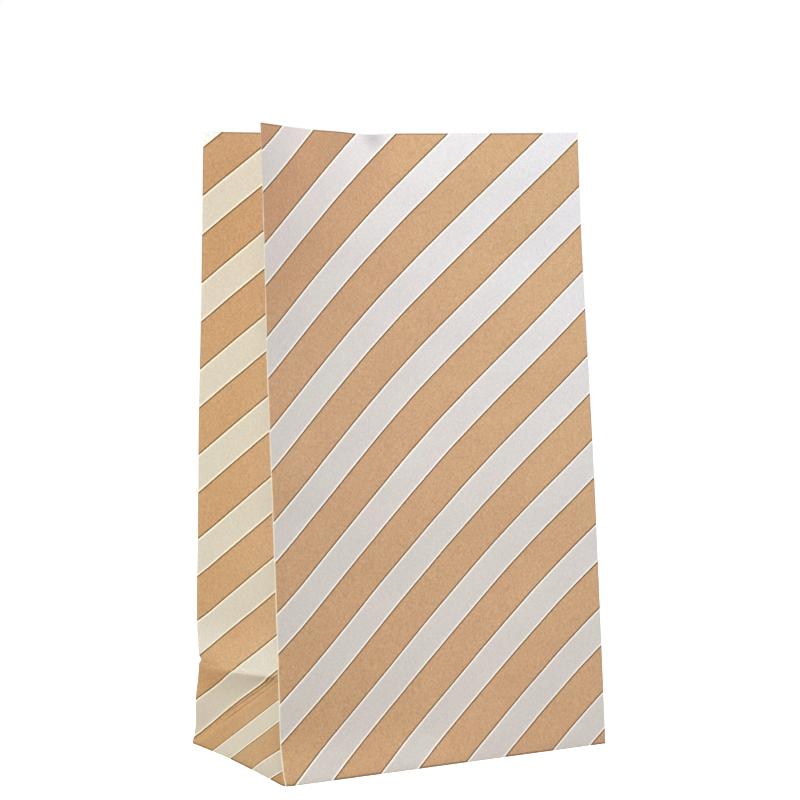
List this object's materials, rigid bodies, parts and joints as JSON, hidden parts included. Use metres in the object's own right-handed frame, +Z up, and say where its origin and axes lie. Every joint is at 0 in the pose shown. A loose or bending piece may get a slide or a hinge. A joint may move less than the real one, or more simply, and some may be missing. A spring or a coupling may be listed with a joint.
{
  "type": "kraft paper bag",
  "caption": "Open square-bottom paper bag of brown kraft with slanting pale stripes, folded side gussets and a flat bottom that stands by itself.",
  "frame": {"origin": "middle of the flat bottom, on the surface that the bag stands on", "axes": "+Z up through the open mouth, front panel faces -Y, side gussets face -X and +X"},
  "size_m": [0.1426, 0.082, 0.2396],
  "materials": {
    "striped_kraft": "matte"
  },
  "bodies": {
    "root": {"bag": "striped_kraft"}
  },
  "joints": []
}
